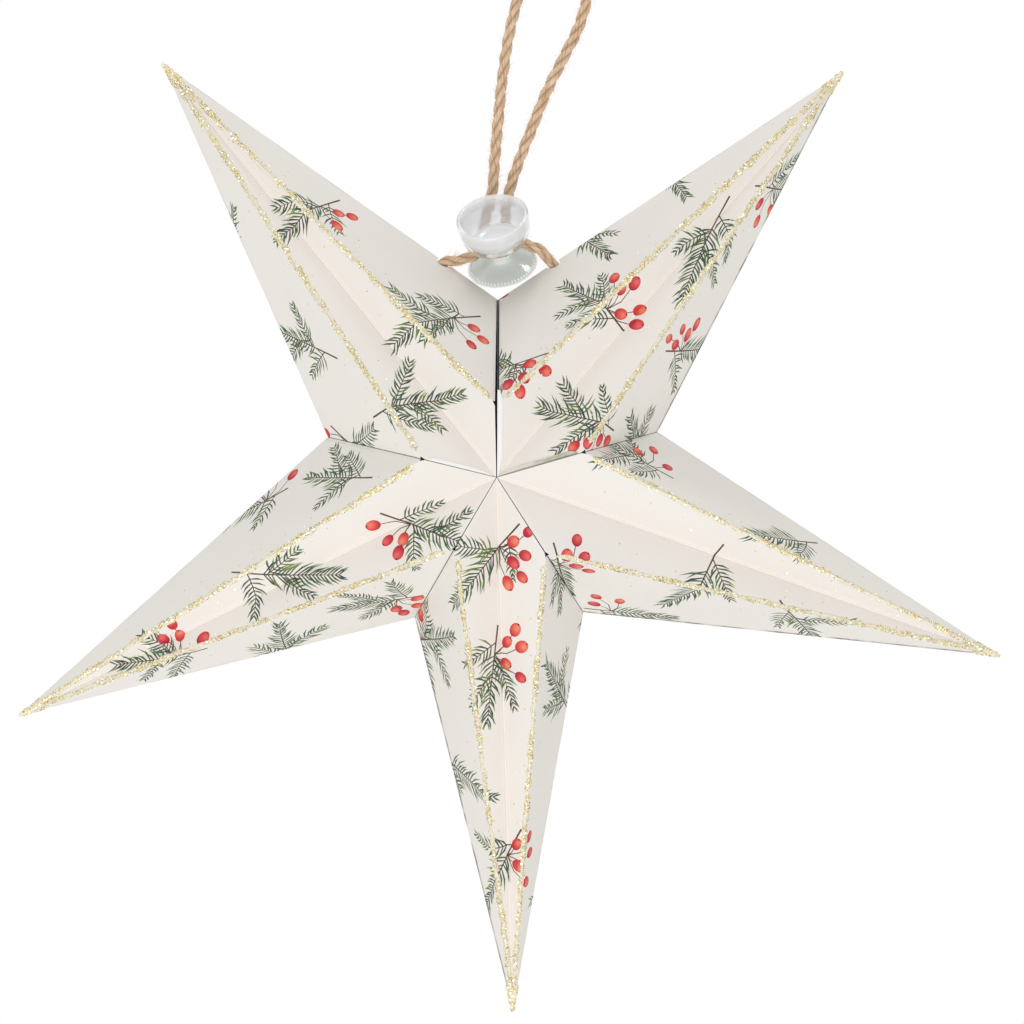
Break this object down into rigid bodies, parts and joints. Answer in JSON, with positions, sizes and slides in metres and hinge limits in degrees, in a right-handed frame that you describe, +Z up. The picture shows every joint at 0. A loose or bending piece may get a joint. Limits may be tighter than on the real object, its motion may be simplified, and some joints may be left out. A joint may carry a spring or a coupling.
{
  "type": "paper star ornament",
  "caption": "Hollow folded card star with ridged points, glittered creases and a clear suction cup on its twine hanging loop; folds up like a fan.",
  "frame": {"origin": "top of the twine hanging loop, where a hook holds it", "axes": "+Z up, +X to the right seen from the front, front of the star towards -Y"},
  "size_m": [0.3022, 0.0756, 0.3526],
  "materials": {
    "printed_card": "matt coated card",
    "glitter": "gold glitter glue",
    "twine": "twisted jute",
    "clear_plastic": "clear soft plastic"
  },
  "bodies": {
    "hanger": {"twine_loop": "twine"},
    "cup": {"suction_cup": "clear_plastic"},
    "upper_left_point_tip": {"upper_left_point_glitter_tip": "glitter"},
    "upper_left_point_front_centre_panel_right": {"upper_left_point_front_centre_panel_right": "printed_card"},
    "upper_left_point_front_side_panel_right": {"upper_left_point_front_side_panel_right": "printed_card"},
    "upper_left_point_back_centre_panel_right": {"upper_left_point_back_centre_panel_right": "printed_card"},
    "upper_left_point_back_side_panel_right": {"upper_left_point_back_side_panel_right": "printed_card"},
    "upper_left_point_front_centre_panel_left": {"upper_left_point_front_centre_panel_left": "printed_card"},
    "upper_left_point_front_side_panel_left": {"upper_left_point_front_side_panel_left": "printed_card"},
    "upper_left_point_back_centre_panel_left": {"upper_left_point_back_centre_panel_left": "printed_card"},
    "upper_left_point_back_side_panel_left": {"upper_left_point_back_side_panel_left": "printed_card"},
    "left_point_tip": {"left_point_glitter_tip": "glitter"},
    "left_point_front_centre_panel_right": {"left_point_front_centre_panel_right": "printed_card"},
    "left_point_front_side_panel_right": {"left_point_front_side_panel_right": "printed_card"},
    "left_point_back_centre_panel_right": {"left_point_back_centre_panel_right": "printed_card"},
    "left_point_back_side_panel_right": {"left_point_back_side_panel_right": "printed_card"},
    "left_point_front_centre_panel_left": {"left_point_front_centre_panel_left": "printed_card"},
    "left_point_front_side_panel_left": {"left_point_front_side_panel_left": "printed_card"},
    "left_point_back_centre_panel_left": {"left_point_back_centre_panel_left": "printed_card"},
    "left_point_back_side_panel_left": {"left_point_back_side_panel_left": "printed_card"},
    "bottom_point_tip": {"bottom_point_glitter_tip": "glitter"},
    "bottom_point_front_centre_panel_right": {"bottom_point_front_centre_panel_right": "printed_card"},
    "bottom_point_front_side_panel_right": {"bottom_point_front_side_panel_right": "printed_card"},
    "bottom_point_back_centre_panel_right": {"bottom_point_back_centre_panel_right": "printed_card"},
    "bottom_point_back_side_panel_right": {"bottom_point_back_side_panel_right": "printed_card"},
    "bottom_point_front_centre_panel_left": {"bottom_point_front_centre_panel_left": "printed_card"},
    "bottom_point_front_side_panel_left": {"bottom_point_front_side_panel_left": "printed_card"},
    "bottom_point_back_centre_panel_left": {"bottom_point_back_centre_panel_left": "printed_card"},
    "bottom_point_back_side_panel_left": {"bottom_point_back_side_panel_left": "printed_card"},
    "right_point_tip": {"right_point_glitter_tip": "glitter"},
    "right_point_front_centre_panel_right": {"right_point_front_centre_panel_right": "printed_card"},
    "right_point_front_side_panel_right": {"right_point_front_side_panel_right": "printed_card"},
    "right_point_back_centre_panel_right": {"right_point_back_centre_panel_right": "printed_card"},
    "right_point_back_side_panel_right": {"right_point_back_side_panel_right": "printed_card"},
    "right_point_front_centre_panel_left": {"right_point_front_centre_panel_left": "printed_card"},
    "right_point_front_side_panel_left": {"right_point_front_side_panel_left": "printed_card"},
    "right_point_back_centre_panel_left": {"right_point_back_centre_panel_left": "printed_card"},
    "right_point_back_side_panel_left": {"right_point_back_side_panel_left": "printed_card"},
    "upper_right_point_tip": {"upper_right_point_glitter_tip": "glitter"},
    "upper_right_point_front_centre_panel_right": {"upper_right_point_front_centre_panel_right": "printed_card"},
    "upper_right_point_front_side_panel_right": {"upper_right_point_front_side_panel_right": "printed_card"},
    "upper_right_point_back_centre_panel_right": {"upper_right_point_back_centre_panel_right": "printed_card"},
    "upper_right_point_back_side_panel_right": {"upper_right_point_back_side_panel_right": "printed_card"},
    "upper_right_point_front_centre_panel_left": {"upper_right_point_front_centre_panel_left": "printed_card"},
    "upper_right_point_front_side_panel_left": {"upper_right_point_front_side_panel_left": "printed_card"},
    "upper_right_point_back_centre_panel_left": {"upper_right_point_back_centre_panel_left": "printed_card"},
    "upper_right_point_back_side_panel_left": {"upper_right_point_back_side_panel_left": "printed_card"}
  },
  "joints": [
    {"name": "cup_spin", "type": "hinge", "parent": "hanger", "child": "cup", "pos_m": [-0.0214, -0.0032, -0.119], "axis": [-0.1654, -0.6521, 0.7399], "continuous": true},
    {"name": "upper_left_point_fold", "type": "hinge", "parent": "hanger", "child": "upper_left_point_tip", "pos_m": [-0.0225, 0, -0.187], "axis": [0, 1, 0], "range_deg": [0, 19.45]},
    {"name": "upper_left_point_front_valley_fold_right", "type": "hinge", "parent": "upper_left_point_tip", "child": "upper_left_point_front_centre_panel_right", "pos_m": [-0.12486, 0, -0.06015], "axis": [0.6094, -0.2068, -0.7654], "range_deg": [0, 52.62]},
    {"name": "upper_left_point_front_ridge_fold_right", "type": "hinge", "parent": "upper_left_point_front_centre_panel_right", "child": "upper_left_point_front_side_panel_right", "pos_m": [-0.12486, 0, -0.06015], "axis": [-0.675, 0.2503, 0.694], "range_deg": [0, 87.22]},
    {"name": "upper_left_point_back_valley_fold_right", "type": "hinge", "parent": "upper_left_point_tip", "child": "upper_left_point_back_centre_panel_right", "pos_m": [-0.12486, 0, -0.06015], "axis": [-0.6094, -0.2068, 0.7654], "range_deg": [0, 52.62]},
    {"name": "upper_left_point_back_ridge_fold_right", "type": "hinge", "parent": "upper_left_point_back_centre_panel_right", "child": "upper_left_point_back_side_panel_right", "pos_m": [-0.12486, 0, -0.06015], "axis": [0.675, 0.2503, -0.694], "range_deg": [0, 87.22]},
    {"name": "upper_left_point_front_valley_fold_left", "type": "hinge", "parent": "upper_left_point_tip", "child": "upper_left_point_front_centre_panel_left", "pos_m": [-0.12486, 0, -0.06015], "axis": [-0.6101, 0.201, 0.7664], "range_deg": [0, 51.28]},
    {"name": "upper_left_point_front_ridge_fold_left", "type": "hinge", "parent": "upper_left_point_front_centre_panel_left", "child": "upper_left_point_front_side_panel_left", "pos_m": [-0.12486, 0, -0.06015], "axis": [0.533, -0.2526, -0.8075], "range_deg": [0, 82.38]},
    {"name": "upper_left_point_back_valley_fold_left", "type": "hinge", "parent": "upper_left_point_tip", "child": "upper_left_point_back_centre_panel_left", "pos_m": [-0.12486, 0, -0.06015], "axis": [0.6101, 0.201, -0.7664], "range_deg": [0, 51.28]},
    {"name": "upper_left_point_back_ridge_fold_left", "type": "hinge", "parent": "upper_left_point_back_centre_panel_left", "child": "upper_left_point_back_side_panel_left", "pos_m": [-0.12486, 0, -0.06015], "axis": [-0.533, -0.2526, 0.8075], "range_deg": [0, 82.38]},
    {"name": "left_point_fold", "type": "hinge", "parent": "hanger", "child": "left_point_tip", "pos_m": [-0.0225, 0, -0.187], "axis": [0, 1, 0], "range_deg": [0, 76.95]},
    {"name": "left_point_front_valley_fold_right", "type": "hinge", "parent": "left_point_tip", "child": "left_point_front_centre_panel_right", "pos_m": [-0.1685, 0, -0.25948], "axis": [0.8741, -0.2002, 0.4425], "range_deg": [0, 54.08]},
    {"name": "left_point_front_ridge_fold_right", "type": "hinge", "parent": "left_point_front_centre_panel_right", "child": "left_point_front_side_panel_right", "pos_m": [-0.1685, 0, -0.25948], "axis": [-0.8195, 0.2514, -0.515], "range_deg": [0, 87.26]},
    {"name": "left_point_back_valley_fold_right", "type": "hinge", "parent": "left_point_tip", "child": "left_point_back_centre_panel_right", "pos_m": [-0.1685, 0, -0.25948], "axis": [-0.8741, -0.2002, -0.4425], "range_deg": [0, 54.08]},
    {"name": "left_point_back_ridge_fold_right", "type": "hinge", "parent": "left_point_back_centre_panel_right", "child": "left_point_back_side_panel_right", "pos_m": [-0.1685, 0, -0.25948], "axis": [0.8195, 0.2514, 0.515], "range_deg": [0, 87.26]},
    {"name": "left_point_front_valley_fold_left", "type": "hinge", "parent": "left_point_tip", "child": "left_point_front_centre_panel_left", "pos_m": [-0.1685, 0, -0.25948], "axis": [-0.8908, 0.1926, -0.4115], "range_deg": [0, 46.56]},
    {"name": "left_point_front_ridge_fold_left", "type": "hinge", "parent": "left_point_front_centre_panel_left", "child": "left_point_front_side_panel_left", "pos_m": [-0.1685, 0, -0.25948], "axis": [0.9023, -0.2569, 0.3461], "range_deg": [0, 69.06]},
    {"name": "left_point_back_valley_fold_left", "type": "hinge", "parent": "left_point_tip", "child": "left_point_back_centre_panel_left", "pos_m": [-0.1685, 0, -0.25948], "axis": [0.8908, 0.1926, 0.4115], "range_deg": [0, 46.56]},
    {"name": "left_point_back_ridge_fold_left", "type": "hinge", "parent": "left_point_back_centre_panel_left", "child": "left_point_back_side_panel_left", "pos_m": [-0.1685, 0, -0.25948], "axis": [-0.9023, -0.2569, -0.3461], "range_deg": [0, 69.06]},
    {"name": "bottom_point_fold", "type": "hinge", "parent": "hanger", "child": "bottom_point_tip", "pos_m": [-0.0225, 0, -0.187], "axis": [0, 1, 0], "range_deg": [0, 122.25]},
    {"name": "bottom_point_front_valley_fold_right", "type": "hinge", "parent": "bottom_point_tip", "child": "bottom_point_front_centre_panel_right", "pos_m": [-0.01766, 0, -0.34993], "axis": [-0.0561, -0.1931, 0.9796], "range_deg": [0, 45.35]},
    {"name": "bottom_point_front_ridge_fold_right", "type": "hinge", "parent": "bottom_point_front_centre_panel_right", "child": "bottom_point_front_side_panel_right", "pos_m": [-0.01766, 0, -0.34993], "axis": [0.1176, 0.2573, -0.9591], "range_deg": [0, 67.09]},
    {"name": "bottom_point_back_valley_fold_right", "type": "hinge", "parent": "bottom_point_tip", "child": "bottom_point_back_centre_panel_right", "pos_m": [-0.01766, 0, -0.34993], "axis": [0.0561, -0.1931, -0.9796], "range_deg": [0, 45.35]},
    {"name": "bottom_point_back_ridge_fold_right", "type": "hinge", "parent": "bottom_point_back_centre_panel_right", "child": "bottom_point_back_side_panel_right", "pos_m": [-0.01766, 0, -0.34993], "axis": [-0.1176, 0.2573, 0.9591], "range_deg": [0, 67.09]},
    {"name": "bottom_point_front_valley_fold_left", "type": "hinge", "parent": "bottom_point_tip", "child": "bottom_point_front_centre_panel_left", "pos_m": [-0.01766, 0, -0.34993], "axis": [-0.0119, 0.1877, -0.9822], "range_deg": [0, 44.71]},
    {"name": "bottom_point_front_ridge_fold_left", "type": "hinge", "parent": "bottom_point_front_centre_panel_left", "child": "bottom_point_front_side_panel_left", "pos_m": [-0.01766, 0, -0.34993], "axis": [0.0682, -0.2614, 0.9628], "range_deg": [0, 63.13]},
    {"name": "bottom_point_back_valley_fold_left", "type": "hinge", "parent": "bottom_point_tip", "child": "bottom_point_back_centre_panel_left", "pos_m": [-0.01766, 0, -0.34993], "axis": [0.0119, 0.1877, 0.9822], "range_deg": [0, 44.71]},
    {"name": "bottom_point_back_ridge_fold_left", "type": "hinge", "parent": "bottom_point_back_centre_panel_left", "child": "bottom_point_back_side_panel_left", "pos_m": [-0.01766, 0, -0.34993], "axis": [-0.0682, -0.2614, -0.9628], "range_deg": [0, 63.13]},
    {"name": "right_point_fold", "type": "hinge", "parent": "hanger", "child": "right_point_tip", "pos_m": [-0.0225, 0, -0.187], "axis": [0, 1, 0], "range_deg": [0, 171.05]},
    {"name": "right_point_front_valley_fold_right", "type": "hinge", "parent": "right_point_tip", "child": "right_point_front_centre_panel_right", "pos_m": [0.13115, 0, -0.24141], "axis": [-0.9412, -0.1819, 0.2846], "range_deg": [0, 53.37]},
    {"name": "right_point_front_ridge_fold_right", "type": "hinge", "parent": "right_point_front_centre_panel_right", "child": "right_point_front_side_panel_right", "pos_m": [0.13115, 0, -0.24141], "axis": [0.9424, 0.2578, -0.2133], "range_deg": [0, 76.89]},
    {"name": "right_point_back_valley_fold_right", "type": "hinge", "parent": "right_point_tip", "child": "right_point_back_centre_panel_right", "pos_m": [0.13115, 0, -0.24141], "axis": [0.9412, -0.1819, -0.2846], "range_deg": [0, 53.37]},
    {"name": "right_point_back_ridge_fold_right", "type": "hinge", "parent": "right_point_back_centre_panel_right", "child": "right_point_back_side_panel_right", "pos_m": [0.13115, 0, -0.24141], "axis": [-0.9424, 0.2578, 0.2133], "range_deg": [0, 76.89]},
    {"name": "right_point_front_valley_fold_left", "type": "hinge", "parent": "right_point_tip", "child": "right_point_front_centre_panel_left", "pos_m": [0.13115, 0, -0.24141], "axis": [0.913, 0.1873, -0.3624], "range_deg": [0, 50.57]},
    {"name": "right_point_front_ridge_fold_left", "type": "hinge", "parent": "right_point_front_centre_panel_left", "child": "right_point_front_side_panel_left", "pos_m": [0.13115, 0, -0.24141], "axis": [-0.8693, -0.2587, 0.4211], "range_deg": [0, 74.92]},
    {"name": "right_point_back_valley_fold_left", "type": "hinge", "parent": "right_point_tip", "child": "right_point_back_centre_panel_left", "pos_m": [0.13115, 0, -0.24141], "axis": [-0.913, 0.1873, 0.3624], "range_deg": [0, 50.57]},
    {"name": "right_point_back_ridge_fold_left", "type": "hinge", "parent": "right_point_back_centre_panel_left", "child": "right_point_back_side_panel_left", "pos_m": [0.13115, 0, -0.24141], "axis": [0.8693, -0.2587, -0.4211], "range_deg": [0, 74.92]},
    {"name": "upper_right_point_fold", "type": "hinge", "parent": "hanger", "child": "upper_right_point_tip", "pos_m": [-0.0225, 0, -0.187], "axis": [0, 1, 0], "range_deg": [0, 220.14], "deforming": ["twine_loop"]},
    {"name": "upper_right_point_front_valley_fold_right", "type": "hinge", "parent": "upper_right_point_tip", "child": "upper_right_point_front_centre_panel_right", "pos_m": [0.08314, 0, -0.06287], "axis": [-0.609, -0.1887, -0.7704], "range_deg": [0, 48.16]},
    {"name": "upper_right_point_front_ridge_fold_right", "type": "hinge", "parent": "upper_right_point_front_centre_panel_right", "child": "upper_right_point_front_side_panel_right", "pos_m": [0.08314, 0, -0.06287], "axis": [0.5446, 0.2597, 0.7975], "range_deg": [0, 70.97]},
    {"name": "upper_right_point_back_valley_fold_right", "type": "hinge", "parent": "upper_right_point_tip", "child": "upper_right_point_back_centre_panel_right", "pos_m": [0.08314, 0, -0.06287], "axis": [0.609, -0.1887, 0.7704], "range_deg": [0, 48.16]},
    {"name": "upper_right_point_back_ridge_fold_right", "type": "hinge", "parent": "upper_right_point_back_centre_panel_right", "child": "upper_right_point_back_side_panel_right", "pos_m": [0.08314, 0, -0.06287], "axis": [-0.5446, 0.2597, -0.7975], "range_deg": [0, 70.97]},
    {"name": "upper_right_point_front_valley_fold_left", "type": "hinge", "parent": "upper_right_point_tip", "child": "upper_right_point_front_centre_panel_left", "pos_m": [0.08314, 0, -0.06287], "axis": [0.6296, 0.2066, 0.749], "range_deg": [0, 53.61]},
    {"name": "upper_right_point_front_ridge_fold_left", "type": "hinge", "parent": "upper_right_point_front_centre_panel_left", "child": "upper_right_point_front_side_panel_left", "pos_m": [0.08314, 0, -0.06287], "axis": [-0.6941, -0.2499, -0.6751], "range_deg": [0, 88.96]},
    {"name": "upper_right_point_back_valley_fold_left", "type": "hinge", "parent": "upper_right_point_tip", "child": "upper_right_point_back_centre_panel_left", "pos_m": [0.08314, 0, -0.06287], "axis": [-0.6296, 0.2066, -0.749], "range_deg": [0, 53.61]},
    {"name": "upper_right_point_back_ridge_fold_left", "type": "hinge", "parent": "upper_right_point_back_centre_panel_left", "child": "upper_right_point_back_side_panel_left", "pos_m": [0.08314, 0, -0.06287], "axis": [0.6941, -0.2499, 0.6751], "range_deg": [0, 88.96]}
  ],
  "couplings": [
    {"joint": "upper_left_point_fold", "follows": "upper_right_point_fold", "ratio": 0.088304},
    {"joint": "upper_left_point_front_valley_fold_right", "follows": "upper_right_point_fold", "ratio": 0.23897},
    {"joint": "upper_left_point_front_ridge_fold_right", "follows": "upper_right_point_fold", "ratio": 0.39615},
    {"joint": "upper_left_point_back_valley_fold_right", "follows": "upper_right_point_fold", "ratio": 0.23897},
    {"joint": "upper_left_point_back_ridge_fold_right", "follows": "upper_right_point_fold", "ratio": 0.39615},
    {"joint": "upper_left_point_front_valley_fold_left", "follows": "upper_right_point_fold", "ratio": 0.2329},
    {"joint": "upper_left_point_front_ridge_fold_left", "follows": "upper_right_point_fold", "ratio": 0.37419},
    {"joint": "upper_left_point_back_valley_fold_left", "follows": "upper_right_point_fold", "ratio": 0.2329},
    {"joint": "upper_left_point_back_ridge_fold_left", "follows": "upper_right_point_fold", "ratio": 0.37419},
    {"joint": "left_point_fold", "follows": "upper_right_point_fold", "ratio": 0.3495},
    {"joint": "left_point_front_valley_fold_right", "follows": "upper_right_point_fold", "ratio": 0.24562},
    {"joint": "left_point_front_ridge_fold_right", "follows": "upper_right_point_fold", "ratio": 0.39634},
    {"joint": "left_point_back_valley_fold_right", "follows": "upper_right_point_fold", "ratio": 0.24562},
    {"joint": "left_point_back_ridge_fold_right", "follows": "upper_right_point_fold", "ratio": 0.39634},
    {"joint": "left_point_front_valley_fold_left", "follows": "upper_right_point_fold", "ratio": 0.21144},
    {"joint": "left_point_front_ridge_fold_left", "follows": "upper_right_point_fold", "ratio": 0.31365},
    {"joint": "left_point_back_valley_fold_left", "follows": "upper_right_point_fold", "ratio": 0.21144},
    {"joint": "left_point_back_ridge_fold_left", "follows": "upper_right_point_fold", "ratio": 0.31365},
    {"joint": "bottom_point_fold", "follows": "upper_right_point_fold", "ratio": 0.55528},
    {"joint": "bottom_point_front_valley_fold_right", "follows": "upper_right_point_fold", "ratio": 0.20596},
    {"joint": "bottom_point_front_ridge_fold_right", "follows": "upper_right_point_fold", "ratio": 0.30471},
    {"joint": "bottom_point_back_valley_fold_right", "follows": "upper_right_point_fold", "ratio": 0.20596},
    {"joint": "bottom_point_back_ridge_fold_right", "follows": "upper_right_point_fold", "ratio": 0.30471},
    {"joint": "bottom_point_front_valley_fold_left", "follows": "upper_right_point_fold", "ratio": 0.20306},
    {"joint": "bottom_point_front_ridge_fold_left", "follows": "upper_right_point_fold", "ratio": 0.28674},
    {"joint": "bottom_point_back_valley_fold_left", "follows": "upper_right_point_fold", "ratio": 0.20306},
    {"joint": "bottom_point_back_ridge_fold_left", "follows": "upper_right_point_fold", "ratio": 0.28674},
    {"joint": "right_point_fold", "follows": "upper_right_point_fold", "ratio": 0.77696},
    {"joint": "right_point_front_valley_fold_right", "follows": "upper_right_point_fold", "ratio": 0.2424},
    {"joint": "right_point_front_ridge_fold_right", "follows": "upper_right_point_fold", "ratio": 0.34923},
    {"joint": "right_point_back_valley_fold_right", "follows": "upper_right_point_fold", "ratio": 0.2424},
    {"joint": "right_point_back_ridge_fold_right", "follows": "upper_right_point_fold", "ratio": 0.34923},
    {"joint": "right_point_front_valley_fold_left", "follows": "upper_right_point_fold", "ratio": 0.22966},
    {"joint": "right_point_front_ridge_fold_left", "follows": "upper_right_point_fold", "ratio": 0.34027},
    {"joint": "right_point_back_valley_fold_left", "follows": "upper_right_point_fold", "ratio": 0.22966},
    {"joint": "right_point_back_ridge_fold_left", "follows": "upper_right_point_fold", "ratio": 0.34027},
    {"joint": "upper_right_point_front_valley_fold_right", "follows": "upper_right_point_fold", "ratio": 0.21875},
    {"joint": "upper_right_point_front_ridge_fold_right", "follows": "upper_right_point_fold", "ratio": 0.32235},
    {"joint": "upper_right_point_back_valley_fold_right", "follows": "upper_right_point_fold", "ratio": 0.21875},
    {"joint": "upper_right_point_back_ridge_fold_right", "follows": "upper_right_point_fold", "ratio": 0.32235},
    {"joint": "upper_right_point_front_valley_fold_left", "follows": "upper_right_point_fold", "ratio": 0.24348},
    {"joint": "upper_right_point_front_ridge_fold_left", "follows": "upper_right_point_fold", "ratio": 0.40405},
    {"joint": "upper_right_point_back_valley_fold_left", "follows": "upper_right_point_fold", "ratio": 0.24348},
    {"joint": "upper_right_point_back_ridge_fold_left", "follows": "upper_right_point_fold", "ratio": 0.40405}
  ]
}
